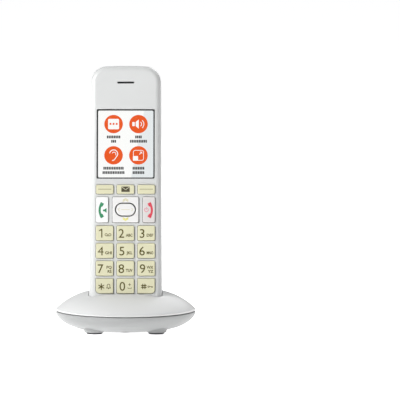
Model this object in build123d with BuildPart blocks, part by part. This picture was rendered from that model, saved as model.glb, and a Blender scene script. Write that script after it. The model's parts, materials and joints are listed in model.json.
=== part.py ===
from build123d import *
import os
from math import asin, cos, radians, sin, sqrt

os.makedirs("parts", exist_ok=True)

# Cordless telephone: a handset that stands, leaning back, in the pocket of a pebble-shaped charging base.
# World frame: X to the right, the front of the telephone faces -Y, Z up, the rubber feet stand on Z = 0.
# Handset frame: x across, v up the handset from its bottom end, depth inwards from its front face.

# --- handset shell ---------------------------------------------------------------------------------
handset_length = 169.6
handset_width = 50.0          # across the bottom end, at the parting line
handset_top_width = 48.4      # across the top end
handset_lean = 14.0           # degrees back from upright
top_crown = 1.0               # rise of the top edge at its middle
top_corner = 11.6
bottom_corner = 9.0
front_round = 4.0
rear_round = 8.5
parting_depth = 11.0          # front shell ends here, rear shell begins
case_seam = 0.25              # bevel that shows the parting line
mould_draft = 1.5             # degrees
shell_wall = 1.8
rear_top = 19.0               # depth of the rear surface past the top end
rear_shoulder = 25.5          # depth at shoulder_height
rear_peak = 27.5              # deepest, at peak_height
rear_foot = 21.5              # depth past the bottom end
shoulder_height = 110.0
peak_height = 50.0
lip_height = 1.0              # tongue of the front shell inside the rear shell
lip_thickness = 0.8
lip_gap = 0.1

# --- display ---------------------------------------------------------------------------------------
window_width = 39.7
window_height = 48.2
window_middle = 114.9         # v of the window's centre
window_corner = 1.0
lens_thickness = 0.9
lens_gap = 0.1
lens_drop = 0.1               # lens surface below the shell's face
mask_width = 1.0              # printed border that hides the ledge
mask_thickness = 0.2
panel_margin = 1.2            # the panel is wider than the clear area by this, each side
panel_thickness = 2.0
holder_wall = 1.0
holder_drop = 2.8             # depth of the holder's rim
board_depth = 5.2             # depth of the main board's front
board_thickness = 1.2

# --- keys ------------------------------------------------------------------------------------------
key_pitch_x = 14.15
key_pitch_v = 12.1
key_width = 11.8
key_height = 10.2
key_corner = 0.9
end_corner = 2.6              # outer corners of the lowest row
first_row = 17.0              # v of the lowest row's centre
call_row = 69.4
call_width = 8.3
call_height = 17.6
nav_width = 17.8
soft_row = 83.4
soft_height = 6.2
key_rise = 1.0                # above the front face
key_edge = 0.45               # rounded edge of each cap
key_gap = 0.3                 # cap to shell
nav_gap = 0.3
flange_reach = 0.6            # flange beyond its cap
flange_play = 0.1             # flange under the shell's inner face
flange_thickness = 1.0
nav_play = 0.6                # the rocker's flange has room to tilt
nav_flange_reach = 0.5
nav_flange_thickness = 0.6
centre_width = 12.8
centre_height = 8.1
centre_gap = 0.8              # groove between the rocker and its centre
centre_length = 4.4
key_travel = 0.5
dome_clearance = 0.25         # below a fully pressed key
dome_height = 0.75
dome_radius = 2.4
mat_margin = 0.6              # mat beyond the keys' outer edges

# --- sound -----------------------------------------------------------------------------------------
slot_length = 11.6
slot_width = 1.45
slot_height = 157.3           # v of the earpiece slot
mesh_thickness = 0.3
receiver_radius = 7.5
receiver_thickness = 2.6
speaker_radius = 9.0
speaker_thickness = 4.6
speaker_height = 122.0
speaker_depth = 16.8          # front of the loudspeaker
speaker_ring = 1.0
grille_slots = 5
grille_pitch = 2.6
grille_slot_length = 13.0
grille_slot_width = 1.2
mic_radius = 2.0
mic_thickness = 1.5
mic_depth = 8.8
mic_hole = 0.6

# --- battery ---------------------------------------------------------------------------------------
cell_radius = 5.2
cell_length = 43.4
cell_nub_radius = 1.9
cell_nub = 0.8
cell_gap = 0.3                # between the two cells, and round them
leaf_room = 2.2               # at each end of the cells
cells_middle = 60.0           # v of the cells' middle
tray_wall = 1.4
tray_floor = 13.8             # depth of the trough's floor
cover_width = 38.0
cover_length = 66.0
cover_corner = 5.0
cover_gap = 0.15
shelf_reach = 2.0             # ledge round the cover
thumb_grip_slots = 4
thumb_grip_pitch = 2.0
contact_sheet = 0.4

# --- charging --------------------------------------------------------------------------------------
pad_spacing = 18.0
pad_width = 5.0
pad_height = 4.0
pad_depth = 8.2               # middle of the pads
pad_thickness = 0.6
pad_gap = 0.3                 # spring tip to pad
spring_width = 3.6
spring_sheet = 0.4

# --- screws ----------------------------------------------------------------------------------------
case_screw_x = 12.6
case_screw_v = 148.0
case_head_radius = 2.2
case_shank_radius = 1.1
case_boss_radius = 2.6
case_screw_length = 12.0
case_head_height = 1.4
case_head_depth = 18.6        # seat of the screw heads, from the front face
case_head_gap = 0.2

# --- base ------------------------------------------------------------------------------------------
base_half_width = 47.8        # to each pointed end
base_half_depth = 40.4
seam_height = 13.5
rim_height = 0.6              # upright edge of the cover
dome_rise = 14.8              # top of the cover above its rim
crown_radius = 220.0          # the cover's ridge is nearly flat over the handset
flank_radius = 47.0           # and falls faster towards the pointed ends
flank_start = 19.0
dome_skirt = 1.2              # the dome is shaped this much wider than the plan, then cut to it
tip_round = 2.0
base_wall = 2.0
seam_groove = 0.5
seam_round = 0.4
bowl_depth = 12.5             # seam to the flat underside
bowl_reach = 24.0             # the underside's edge in from the seam
bowl_steps = 5
bowl_slack = 1.15             # over 1: the bowl is shallower than an ellipse
pocket_gap = 0.4              # round the standing handset
pocket_wall = 1.6
handset_foot_y = -19.2        # front edge of the handset's bottom end
handset_foot_z = 15.97
foot_radius = 5.5
foot_height = 1.7
foot_x = 21.0
foot_y = 16.0
foot_seat_gap = 0.1
foot_ledge = 1.2              # underside of the pan's bosses round the feet
foot_boss_height = 3.5
foot_boss_flare = 20.0        # degrees
side_screw_inset = 16.8       # in from the pointed ends
rear_screw_inset = 16.4       # in from the rear of the seam
front_screw_gap = 4.8         # ahead of the handset's bottom edge
base_head_radius = 2.6
base_head_height = 1.8
base_shank_radius = 1.3
base_boss_radius = 3.2
base_well_radius = 3.0
base_well_wall = 1.4
well_top = 6.2                # where the pan's screw wells meet the cover's bosses
base_screw_length = 9.0
socket_x = 12.1
socket_depth = 12.0
socket_inset = 8.4            # sockets' mouths, in from the rear of the seam
socket_bottom = 3.4
socket_height = 9.0
line_plug_width = 9.9
power_plug_width = 7.9
plug_height = 6.5
plug_length = 10.0
socket_wall = 1.4
socket_gap = 0.2
base_board_width = 38.0
base_board_depth = 30.0
base_board_z = 4.2
base_board_thickness = 1.2
board_socket_gap = 1.0
carrier_width = 27.0
carrier_thickness = 5.0
carrier_depth = 7.0

# --- planes ----------------------------------------------------------------------------------------
lean_cos = cos(radians(handset_lean))
lean_sin = sin(radians(handset_lean))
face = Plane(origin=(0, handset_foot_y, handset_foot_z), x_dir=(1, 0, 0), z_dir=(0, -lean_cos, lean_sin))
side = Plane(origin=face.origin, x_dir=face.z_dir, z_dir=(-1, 0, 0))
outwards = Axis(face.origin, face.z_dir)


def depth(amount):
    """The plane inside the handset at this depth, parallel to its front face."""
    return face.offset(-amount)


# --- handset forms ---------------------------------------------------------------------------------
def handset_outline(inset):
    """Front view of the handset: slightly tapered, with a crowned top edge and rounded corners."""
    half_bottom = handset_width / 2
    half_top = handset_top_width / 2
    shoulder = handset_length - top_crown
    with BuildSketch(mode=Mode.PRIVATE) as outline:
        with BuildLine():
            Polyline((-half_top, shoulder), (-half_bottom, 0), (half_bottom, 0), (half_top, shoulder))
            ThreePointArc((half_top, shoulder), (0, handset_length), (-half_top, shoulder))
        make_face()
        fillet(outline.vertices().group_by(Axis.Y)[-1], top_corner)
        fillet(outline.vertices().group_by(Axis.Y)[0], bottom_corner)
        if inset:
            offset(amount=-inset)
    return outline.sketch


def handset_form(inset):
    """The whole handset as a solid, moved in from its skin by inset."""
    overrun = 8.0
    spare = 6.0
    with BuildPart() as form:
        with BuildSketch(depth(parting_depth)) as outline:
            add(handset_outline(inset))
        extrude(amount=parting_depth + spare, taper=mould_draft)
        extrude(outline.sketch, amount=-rear_peak, taper=mould_draft)
        with BuildSketch(side):
            with BuildLine():
                upper = ThreePointArc(
                    (-rear_top, handset_length + overrun),
                    (-rear_shoulder, shoulder_height),
                    (-rear_peak, peak_height),
                )
                lower = TangentArc(upper @ 1, (-rear_foot, -overrun), tangent=upper % 1)
                Polyline(lower @ 1, (0, -overrun), (0, handset_length + overrun), upper @ 0)
            make_face()
            if inset:
                offset(amount=-inset)
        extrude(amount=handset_width, both=True, mode=Mode.INTERSECT)
        front = form.faces().sort_by(outwards)[-1]
        fillet(front.edges(), front_round - inset)
        rear = [f for f in form.faces() if f.normal_at().dot(face.z_dir) < -0.9]
        rim = ShapeList()
        for rear_face in rear:
            for edge in rear_face.edges():
                if sum(edge in other.edges() for other in rear) < 2:
                    rim.append(edge)
        fillet(rim, rear_round - inset)
    return form.part


outer_form = handset_form(0)
lip_form = handset_form(shell_wall - lip_thickness)
groove_form = handset_form(shell_wall - lip_thickness - lip_gap)
inner_form = handset_form(shell_wall)
shelf_form = handset_form(2 * shell_wall)
pocket_form = handset_form(-pocket_gap)
tub_form = handset_form(-pocket_gap - pocket_wall)


def across(height):
    """The plane across the handset at this height, facing up it: x, then depth."""
    up = face.y_dir
    return Plane(origin=face.origin + up * height, x_dir=(1, 0, 0), z_dir=up)


def slab(form, near, far):
    """The stretch of a form between two depths."""
    with BuildPart() as piece:
        add(form)
        split(bisect_by=depth(near), keep=Keep.BOTTOM)
        split(bisect_by=depth(far), keep=Keep.TOP)
    return piece.part


def column(outline, near, form):
    """The part of a form that stands behind a flat outline, from a depth to the rear."""
    with BuildPart() as piece:
        with BuildSketch(depth(near)):
            add(outline)
        extrude(amount=-(rear_peak - near + shell_wall))
        add(form, mode=Mode.INTERSECT)
    return piece.part


def plate(width, height, corner, middle=(0, 0)):
    """A rounded rectangle as a flat outline."""
    with BuildSketch(mode=Mode.PRIVATE) as outline:
        with Locations(middle):
            RectangleRounded(width, height, corner)
    return outline.sketch


# --- key layout ------------------------------------------------------------------------------------
digit_rows = (("star", "0", "hash"), ("7", "8", "9"), ("4", "5", "6"), ("1", "2", "3"))
keys_edge = key_pitch_x + key_width / 2
flange_depth = shell_wall + flange_play
layout = {}
for row, names in enumerate(digit_rows):
    for column_number, name in enumerate(names):
        place = ((column_number - 1) * key_pitch_x, first_row + row * key_pitch_v)
        layout["key_" + name] = (place, key_width, key_height)
layout["key_talk"] = ((call_width / 2 - keys_edge, call_row), call_width, call_height)
layout["key_end"] = ((keys_edge - call_width / 2, call_row), call_width, call_height)
layout["key_soft_left"] = ((-key_pitch_x, soft_row), key_width, soft_height)
layout["key_message"] = ((0, soft_row), key_width, soft_height)
layout["key_soft_right"] = ((key_pitch_x, soft_row), key_width, soft_height)


def key_outline(name, grow=0.0):
    """Flat outline of a key, wider by grow all round; the lowest row has two large outer corners."""
    (x, v), width, height = layout[name]
    with BuildSketch(mode=Mode.PRIVATE) as outline:
        with Locations((x, v)):
            Rectangle(width + 2 * grow, height + 2 * grow)
        corners = outline.vertices()
        if name in ("key_star", "key_hash"):
            outer = corners.group_by(Axis.Y)[0].sort_by(Axis.X)[0 if x < 0 else -1]
            fillet(outer, end_corner + grow)
            corners = [c for c in corners if c != outer]
        fillet(corners, key_corner + grow)
    return outline.sketch


# --- handset: front shell --------------------------------------------------------------------------
tongue_overlap = 0.5
tongue = slab(lip_form, parting_depth - tongue_overlap, parting_depth + lip_height)
ledge_depth = lens_drop + lens_thickness + mask_thickness
clear_width = window_width - 2 * mask_width
clear_height = window_height - 2 * mask_width
screw_places = ((-case_screw_x, case_screw_v), (case_screw_x, case_screw_v))

with BuildPart() as front_shell:
    add(outer_form)
    split(bisect_by=depth(parting_depth), keep=Keep.TOP)
    add(tongue)
    add(inner_form, mode=Mode.SUBTRACT)
    with BuildSketch(depth(shell_wall / 2)):
        with Locations(*screw_places):
            Circle(case_boss_radius)
            Circle(case_shank_radius, mode=Mode.SUBTRACT)
    extrude(amount=-(parting_depth - shell_wall / 2))
    with BuildSketch(face):
        add(plate(window_width, window_height, window_corner, (0, window_middle)))
    extrude(amount=-ledge_depth, mode=Mode.SUBTRACT)
    with BuildSketch(face):
        add(plate(clear_width, clear_height, window_corner, (0, window_middle)))
        for name in layout:
            add(key_outline(name, key_gap))
        add(plate(nav_width + 2 * nav_gap, call_height + 2 * nav_gap, key_corner, (0, call_row)))
        with Locations((0, slot_height)):
            SlotOverall(slot_length, slot_width)
    extrude(amount=-2 * shell_wall, mode=Mode.SUBTRACT)
    with BuildSketch(across(0)):
        with Locations((-pad_spacing / 2, pad_depth), (pad_spacing / 2, pad_depth)):
            Rectangle(pad_width + 2 * lip_gap, pad_height + 2 * lip_gap)
        with Locations((0, mic_depth)):
            Circle(mic_hole)
    extrude(amount=2 * shell_wall, mode=Mode.SUBTRACT)
front_shell.part.label = "front_shell"
export_step(front_shell.part, "parts/front_shell.step")

# --- handset: rear shell ---------------------------------------------------------------------------
trough_width = 4 * cell_radius + 3 * cell_gap
trough_length = cell_length + cell_nub + 2 * leaf_room
cells_place = (0, cells_middle)
skin_depth = rear_foot - shell_wall
groove = slab(groove_form, 0, parting_depth + lip_height + lip_gap)
shelf_outline = plate(
    cover_width + 2 * shelf_reach, cover_length + 2 * shelf_reach, cover_corner + shelf_reach, cells_place
)
recess_outline = plate(
    cover_width + 2 * cover_gap, cover_length + 2 * cover_gap, cover_corner + cover_gap, cells_place
)
tray_outline = plate(
    trough_width + 2 * tray_wall, trough_length + 2 * tray_wall, tray_wall, cells_place
)
tray = column(tray_outline, tray_floor - tray_wall, inner_form)
with BuildPart() as shelf:
    add(column(shelf_outline, skin_depth, inner_form))
    add(shelf_form, mode=Mode.SUBTRACT)
with BuildPart() as recess:
    add(column(recess_outline, skin_depth, outer_form))
    add(inner_form, mode=Mode.SUBTRACT)
speaker_clearance = speaker_radius + cell_gap
with BuildSketch() as ring_outline:
    with Locations((0, speaker_height)):
        Circle(speaker_clearance + speaker_ring)
        Circle(speaker_clearance, mode=Mode.SUBTRACT)
ring = column(ring_outline.sketch, speaker_depth, inner_form)
with BuildSketch() as post_outline:
    with Locations(*screw_places):
        Circle(case_boss_radius)
posts = column(post_outline.sketch, parting_depth + lip_gap, inner_form)

with BuildPart() as rear_shell:
    add(outer_form)
    split(bisect_by=depth(parting_depth), keep=Keep.BOTTOM)
    parting_face = rear_shell.faces().filter_by(GeomType.PLANE).sort_by(SortBy.AREA)[-1]
    chamfer(parting_face.edges(), case_seam)
    add(inner_form, mode=Mode.SUBTRACT)
    add(groove, mode=Mode.SUBTRACT)
    add([shelf.part, tray, ring, posts])
    add(recess.part, mode=Mode.SUBTRACT)
    with BuildSketch(depth(tray_floor)):
        with Locations(cells_place):
            Rectangle(trough_width, trough_length)
    extrude(amount=-rear_peak, mode=Mode.SUBTRACT)
    with BuildSketch(depth(parting_depth)):
        with Locations((0, speaker_height)):
            with GridLocations(0, grille_pitch, 1, grille_slots):
                SlotOverall(grille_slot_length, grille_slot_width)
        with Locations(*screw_places):
            Circle(case_shank_radius + case_head_gap)
    extrude(amount=-rear_peak, mode=Mode.SUBTRACT)
    with BuildSketch(depth(case_head_depth)):
        with Locations(*screw_places):
            Circle(case_head_radius + case_head_gap)
    extrude(amount=-rear_peak, mode=Mode.SUBTRACT)
rear_shell.part.label = "rear_shell"
export_step(rear_shell.part, "parts/rear_shell.step")

# --- handset: battery cover ------------------------------------------------------------------------
cover_outline = plate(cover_width, cover_length, cover_corner, cells_place)
cover_core = handset_form(shell_wall - cover_gap)
grip_height = cells_middle + cover_length / 2 - cover_corner - thumb_grip_slots * thumb_grip_pitch
grip_length = cover_width / 2
grip_groove = 0.8
grip_sink = 0.4
grip_form = handset_form(grip_sink)
with BuildSketch() as grip_outline:
    with Locations((0, grip_height)):
        with GridLocations(0, thumb_grip_pitch, 1, thumb_grip_slots):
            SlotOverall(grip_length, grip_groove)
with BuildPart() as grip:
    add(column(grip_outline.sketch, skin_depth, outer_form))
    add(grip_form, mode=Mode.SUBTRACT)
with BuildPart() as battery_cover:
    add(column(cover_outline, skin_depth, outer_form))
    add(cover_core, mode=Mode.SUBTRACT)
    add(grip.part, mode=Mode.SUBTRACT)
battery_cover.part.label = "battery_cover"
export_step(battery_cover.part, "parts/battery_cover.step")

# --- handset: display ------------------------------------------------------------------------------
with BuildPart() as display_lens:
    with BuildSketch(depth(lens_drop)):
        lens_size = (window_width - 2 * lens_gap, window_height - 2 * lens_gap)
        add(plate(*lens_size, window_corner, (0, window_middle)))
    extrude(amount=-lens_thickness)
display_lens.part.label = "display_lens"
export_step(display_lens.part, "parts/display_lens.step")

with BuildPart() as display_mask:
    with BuildSketch(depth(lens_drop + lens_thickness)):
        lens_size = (window_width - 2 * lens_gap, window_height - 2 * lens_gap)
        add(plate(*lens_size, window_corner, (0, window_middle)))
        add(plate(clear_width, clear_height, window_corner, (0, window_middle)), mode=Mode.SUBTRACT)
    extrude(amount=-mask_thickness)
display_mask.part.label = "display_mask"
export_step(display_mask.part, "parts/display_mask.step")

panel_width = clear_width + 2 * panel_margin
panel_height = clear_height + 2 * panel_margin
panel_depth = shell_wall + lens_gap
with BuildPart() as lcd_panel:
    with BuildSketch(depth(panel_depth)):
        add(plate(panel_width, panel_height, window_corner, (0, window_middle)))
    extrude(amount=-panel_thickness)
lcd_panel.part.label = "lcd_panel"
export_step(lcd_panel.part, "parts/lcd_panel.step")

holder_width = panel_width + 2 * (lens_gap + holder_wall)
holder_height = panel_height + 2 * (lens_gap + holder_wall)
with BuildPart() as lcd_holder:
    with BuildSketch(depth(holder_drop)):
        add(plate(holder_width, holder_height, window_corner, (0, window_middle)))
    extrude(amount=holder_drop - board_depth)
    with BuildSketch(depth(holder_drop)):
        panel_hole = (panel_width + 2 * lens_gap, panel_height + 2 * lens_gap)
        add(plate(*panel_hole, window_corner, (0, window_middle)))
    extrude(amount=holder_drop - panel_depth - panel_thickness - lens_gap, mode=Mode.SUBTRACT)
lcd_holder.part.label = "lcd_holder"
export_step(lcd_holder.part, "parts/lcd_holder.step")

# --- handset: keys ---------------------------------------------------------------------------------
for name in layout:
    with BuildPart() as key:
        with BuildSketch(depth(flange_depth)):
            add(key_outline(name))
        extrude(amount=flange_depth + key_rise)
        fillet(key.faces().sort_by(outwards)[-1].edges(), key_edge)
        with BuildSketch(depth(flange_depth)):
            add(key_outline(name, flange_reach))
        extrude(amount=-flange_thickness)
    key.part.label = name
    export_step(key.part, "parts/" + name + ".step")

nav_depth = shell_wall + nav_play
with BuildPart() as nav_rocker:
    with BuildSketch(depth(nav_depth)):
        add(plate(nav_width, call_height, key_corner, (0, call_row)))
    extrude(amount=nav_depth + key_rise)
    fillet(nav_rocker.faces().sort_by(outwards)[-1].edges(), key_edge)
    with BuildSketch(depth(nav_depth)):
        nav_flange_width = nav_width + 2 * nav_flange_reach
        nav_flange_height = call_height + 2 * nav_flange_reach
        add(plate(nav_flange_width, nav_flange_height, key_corner, (0, call_row)))
    extrude(amount=-nav_flange_thickness)
    with BuildSketch(depth(nav_depth + nav_flange_thickness)):
        with Locations((0, call_row)):
            SlotOverall(centre_width + 2 * centre_gap, centre_height + 2 * centre_gap)
    extrude(amount=nav_depth + nav_flange_thickness + key_rise, mode=Mode.SUBTRACT)
    mouth = nav_rocker.faces().sort_by(outwards)[-1].inner_wires()[0]
    fillet(mouth.edges(), key_edge / 2)
nav_rocker.part.label = "nav_rocker"
export_step(nav_rocker.part, "parts/nav_rocker.step")

with BuildPart() as nav_centre:
    with BuildSketch(depth(-key_rise)):
        with Locations((0, call_row)):
            SlotOverall(centre_width, centre_height)
    extrude(amount=-centre_length)
    fillet(nav_centre.faces().sort_by(outwards)[-1].edges(), key_edge)
nav_centre.part.label = "nav_centre"
export_step(nav_centre.part, "parts/nav_centre.step")

# --- handset: keypad mat ---------------------------------------------------------------------------
dome_top = flange_depth + flange_thickness + key_travel + dome_clearance
mat_front = dome_top + dome_height
mat_bottom = first_row - key_height / 2 - mat_margin
mat_top = soft_row + soft_height / 2 + mat_margin
mat_width = 2 * (keys_edge + mat_margin)
centre_dome = centre_width / 3
nav_dome = call_height / 2 - 2 * key_corner - key_edge
dome_places = [layout[name][0] for name in layout]
dome_places += [(0, call_row), (centre_dome, call_row), (-centre_dome, call_row)]
dome_places += [(0, call_row + nav_dome), (0, call_row - nav_dome)]
dome_tip = 0.7                # of the foot radius
centre_dome_radius = 1.7
with BuildPart() as keypad_mat:
    with BuildSketch(depth(mat_front)):
        mat_middle = (0, (mat_bottom + mat_top) / 2)
        add(plate(mat_width, mat_top - mat_bottom, end_corner, mat_middle))
    extrude(amount=mat_front - board_depth)
    for place in dome_places:
        at_nav = place[1] == call_row and abs(place[0]) <= nav_width / 2
        radius = centre_dome_radius if at_nav else dome_radius
        with BuildSketch(depth(mat_front)):
            with Locations(place):
                Circle(radius)
        with BuildSketch(depth(dome_top)):
            with Locations(place):
                Circle(radius * dome_tip)
        loft()
keypad_mat.part.label = "keypad_mat"
export_step(keypad_mat.part, "parts/keypad_mat.step")

# --- handset: main board and antenna ---------------------------------------------------------------
board_margin = 1.4
board_back = board_depth + board_thickness
shield_size = (24.0, 20.0, 2.2)
shield_place = (0.0, 106.0)
chip_size = (11.0, 11.0, 1.1)
chip_places = ((-9.0, 80.0), (10.0, 62.0))
with BuildPart() as main_board:
    with BuildSketch(depth(board_depth)):
        add(handset_outline(shell_wall + board_margin))
        with Locations(*screw_places):
            Circle(case_boss_radius + cell_gap, mode=Mode.SUBTRACT)
    extrude(amount=-board_thickness)
    with BuildSketch(depth(board_back)):
        with Locations(shield_place):
            RectangleRounded(shield_size[0], shield_size[1], key_corner)
    extrude(amount=-shield_size[2])
    with BuildSketch(depth(board_back)):
        with Locations(*chip_places):
            Rectangle(chip_size[0], chip_size[1])
    extrude(amount=-chip_size[2])
main_board.part.label = "main_board"
export_step(main_board.part, "parts/main_board.step")

antenna_width = 24.0
antenna_strip = 2.0
antenna_height = 161.0
antenna_leg = 6.0
antenna_sheet = 0.5
with BuildPart() as antenna:
    with BuildSketch(depth(board_back)):
        with Locations((0, antenna_height)):
            Rectangle(antenna_width, antenna_strip)
        with Locations(
            (antenna_strip / 2 - antenna_width / 2, antenna_height - antenna_leg / 2),
            (antenna_strip * 2.5 - antenna_width / 2, antenna_height - antenna_leg / 2),
        ):
            Rectangle(antenna_strip, antenna_leg)
    extrude(amount=-antenna_sheet)
antenna.part.label = "antenna"
export_step(antenna.part, "parts/antenna.step")

# --- handset: sound --------------------------------------------------------------------------------
with BuildPart() as earpiece_mesh:
    with BuildSketch(depth(shell_wall)):
        with Locations((0, slot_height)):
            SlotOverall(slot_length + 2 * slot_width, 3 * slot_width)
    extrude(amount=-mesh_thickness)
earpiece_mesh.part.label = "earpiece_mesh"
export_step(earpiece_mesh.part, "parts/earpiece_mesh.step")

receiver_lip = 0.8
with BuildPart() as earpiece_receiver:
    with BuildSketch(depth(shell_wall + mesh_thickness)):
        with Locations((0, slot_height)):
            Circle(receiver_radius - receiver_lip)
    extrude(amount=-receiver_thickness)
    with BuildSketch(depth(shell_wall + mesh_thickness + receiver_lip)):
        with Locations((0, slot_height)):
            Circle(receiver_radius)
    extrude(amount=receiver_lip - receiver_thickness)
earpiece_receiver.part.label = "earpiece_receiver"
export_step(earpiece_receiver.part, "parts/earpiece_receiver.step")

magnet_radius = speaker_radius / 2
basket = speaker_thickness / 2
with BuildPart() as handsfree_speaker:
    with BuildSketch(depth(speaker_depth + basket)):
        with Locations((0, speaker_height)):
            Circle(speaker_radius)
    extrude(amount=basket - speaker_thickness)
    with BuildSketch(depth(speaker_depth)):
        with Locations((0, speaker_height)):
            Circle(magnet_radius)
    extrude(amount=-basket)
handsfree_speaker.part.label = "handsfree_speaker"
export_step(handsfree_speaker.part, "parts/handsfree_speaker.step")

with BuildPart() as microphone:
    with BuildSketch(across(shell_wall + lip_gap)):
        with Locations((0, mic_depth)):
            Circle(mic_radius)
            Circle(mic_hole, mode=Mode.SUBTRACT)
    extrude(amount=mic_thickness / 3)
    with BuildSketch(across(shell_wall + lip_gap + mic_thickness / 3)):
        with Locations((0, mic_depth)):
            Circle(mic_radius)
    extrude(amount=mic_thickness * 2 / 3)
microphone.part.label = "microphone"
export_step(microphone.part, "parts/microphone.step")

# --- handset: battery ------------------------------------------------------------------------------
cell_x = cell_radius + cell_gap / 2
cell_axis_depth = tray_floor + cell_gap + cell_radius
cells_bottom = cells_middle - (cell_length + cell_nub) / 2
cell_edge = 0.5
with BuildPart() as battery_cells:
    for sign in (-1, 1):
        with BuildSketch(across(cells_bottom + (cell_nub if sign > 0 else 0))):
            with Locations((sign * cell_x, cell_axis_depth)):
                Circle(cell_radius)
        extrude(amount=cell_length)
    chamfer(battery_cells.edges().filter_by(GeomType.CIRCLE), cell_edge)
    for sign in (-1, 1):
        with BuildSketch(across(cells_bottom if sign > 0 else cells_bottom + cell_length)):
            with Locations((sign * cell_x, cell_axis_depth)):
                Circle(cell_nub_radius)
        extrude(amount=cell_nub)
battery_cells.part.label = "battery_cells"
export_step(battery_cells.part, "parts/battery_cells.step")

leaf_half = 3.6
leaf_bow = leaf_room - cell_gap - contact_sheet
trough_bottom = cells_middle - trough_length / 2
trough_top = cells_middle + trough_length / 2
leaf_width = cell_radius
with BuildPart() as battery_contacts:
    for wall, inwards in ((trough_bottom, 1), (trough_top, -1)):
        foot = wall + inwards * contact_sheet / 2
        for sign in (-1, 1):
            with BuildSketch(side.offset(-sign * cell_x)):
                with BuildLine():
                    leaf_start = (-cell_axis_depth + leaf_half, foot)
                    leaf_end = (-cell_axis_depth - leaf_half, foot)
                    Line(leaf_start, leaf_end)
                    ThreePointArc(leaf_start, (-cell_axis_depth, foot + inwards * leaf_bow), leaf_end)
                trace(line_width=contact_sheet)
            extrude(amount=leaf_width / 2, both=True)
battery_contacts.part.label = "battery_contacts"
export_step(battery_contacts.part, "parts/battery_contacts.step")

# --- handset: charging pads ------------------------------------------------------------------------
tab_length = 7.0
tab_width = 2.6
with BuildPart() as charge_pads:
    for sign in (-1, 1):
        pad_x = sign * pad_spacing / 2
        with BuildSketch(across(0)):
            with Locations((pad_x, pad_depth)):
                Rectangle(pad_width, pad_height)
        extrude(amount=pad_thickness)
        with BuildSketch(across(0)):
            with Locations((pad_x, board_back + pad_thickness / 2)):
                Rectangle(tab_width, pad_thickness)
        extrude(amount=tab_length)
charge_pads.part.label = "charge_pads"
export_step(charge_pads.part, "parts/charge_pads.step")

# --- handset: screws -------------------------------------------------------------------------------
drive_width = 1.9
drive_slot = 0.5
drive_sink = 0.7
with BuildPart() as handset_screws:
    with BuildSketch(depth(case_head_depth)):
        with Locations(*screw_places):
            Circle(case_shank_radius)
    extrude(amount=case_screw_length)
    with BuildSketch(depth(case_head_depth)):
        with Locations(*screw_places):
            Circle(case_head_radius)
    extrude(amount=-case_head_height)
    with BuildSketch(depth(case_head_depth + case_head_height)):
        with Locations(*screw_places):
            Rectangle(2 * drive_width, drive_slot)
            Rectangle(drive_slot, 2 * drive_width)
    extrude(amount=drive_sink, mode=Mode.SUBTRACT)
handset_screws.part.label = "handset_screws"
export_step(handset_screws.part, "parts/handset_screws.step")

# --- base: forms -----------------------------------------------------------------------------------
plan_radius = (base_half_width**2 + base_half_depth**2) / (2 * base_half_depth)
plan_shift = plan_radius - base_half_depth
cover_bottom = seam_height + seam_groove
rim_top = cover_bottom + rim_height
dome_stations = (0.0, 0.22, 0.43, 0.62, 0.78, 0.9, 0.985)
floor_height = seam_height - bowl_depth
socket_front = base_half_depth - socket_inset
base_board_y = socket_front - socket_depth - board_socket_gap - base_board_depth / 2
base_screws_at = [(sx * (base_half_width - side_screw_inset), 0) for sx in (1, -1)]
base_screws_at += [(0, handset_foot_y - front_screw_gap), (0, base_half_depth - rear_screw_inset)]


def pebble_outline(inset):
    """Plan of the base: two shallow arcs that meet in a blunt point at each end."""
    radius = plan_radius - inset
    half_depth = radius - plan_shift
    half_width = sqrt(radius**2 - plan_shift**2)
    with BuildSketch(mode=Mode.PRIVATE) as outline:
        with BuildLine():
            ThreePointArc((-half_width, 0), (0, half_depth), (half_width, 0))
            ThreePointArc((half_width, 0), (0, -half_depth), (-half_width, 0))
        make_face()
        fillet(outline.vertices(), tip_round)
    return outline.sketch


def ridge_height(x, inset):
    """Top of the cover at x: a flat crown arc, then a tighter arc that meets it without a corner."""
    turn = asin(flank_start / crown_radius)
    crown_centre = rim_top + dome_rise - crown_radius
    flank_x = flank_start - flank_radius * sin(turn)
    flank_centre = crown_centre + (crown_radius - flank_radius) * cos(turn)
    if abs(x) < flank_x + (flank_radius - inset) * sin(turn):
        return crown_centre + sqrt((crown_radius - inset) ** 2 - x**2)
    return flank_centre + sqrt((flank_radius - inset) ** 2 - (abs(x) - flank_x) ** 2)


def dome_form(inset, bottom):
    """The cover's outer form, moved in by inset: arcs from front to rear lofted along the ridge."""
    radius = plan_radius + dome_skirt - inset
    reach = sqrt(radius**2 - plan_shift**2)
    low = rim_top - dome_skirt - inset / 2
    with BuildPart() as form:
        for share in [-u for u in dome_stations[:0:-1]] + list(dome_stations):
            x = share * reach
            half_chord = sqrt(radius**2 - x**2) - plan_shift
            with BuildSketch(Plane.YZ.offset(x)):
                with BuildLine():
                    ThreePointArc((-half_chord, low), (0, ridge_height(x, inset)), (half_chord, low))
                    Polyline((half_chord, low), (half_chord, 0), (-half_chord, 0), (-half_chord, low))
                make_face()
        loft()
        with BuildSketch(Plane.XY.offset(bottom)):
            add(pebble_outline(inset))
        extrude(amount=dome_rise + bowl_depth, mode=Mode.INTERSECT)
    return form.part


def bowl_form(inset):
    """The underside's form: the plan shrinks along a quarter of an ellipse from the seam to the floor."""
    with BuildPart() as form:
        for step in range(bowl_steps + 1):
            turn = radians(90 * step / bowl_steps)
            level = seam_height - (bowl_depth - inset) * sin(turn) ** bowl_slack
            with BuildSketch(Plane.XY.offset(level)):
                add(pebble_outline(inset + bowl_reach * (1 - cos(turn))))
        loft()
    return form.part


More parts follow.
